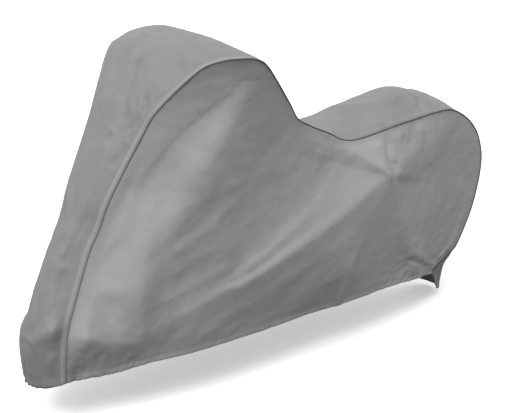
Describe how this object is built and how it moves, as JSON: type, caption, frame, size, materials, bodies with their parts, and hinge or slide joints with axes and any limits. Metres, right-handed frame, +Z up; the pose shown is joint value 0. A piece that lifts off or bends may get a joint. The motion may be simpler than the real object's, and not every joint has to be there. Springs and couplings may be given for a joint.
{
  "type": "motorcycle cover",
  "caption": "Fitted grey fabric motorcycle cover in its draped shape, hollow and open below, with a centre panel, side panels and dark piped seams.",
  "frame": {"origin": "on the underside of the centre panel, at the top of the front hump, where the cover is held up", "axes": "+X forward along the cover, towards its nose; +Y to the cover's left side; +Z up"},
  "size_m": [1.8928, 0.6104, 1.0968],
  "materials": {
    "centre_cloth": "matte",
    "side_cloth": "matte",
    "piping": "matte"
  },
  "bodies": {
    "root": {"centre_panel": "centre_cloth", "left_side_panel": "side_cloth", "right_side_panel": "side_cloth", "left_seam_piping": "piping", "right_seam_piping": "piping"}
  },
  "joints": []
}
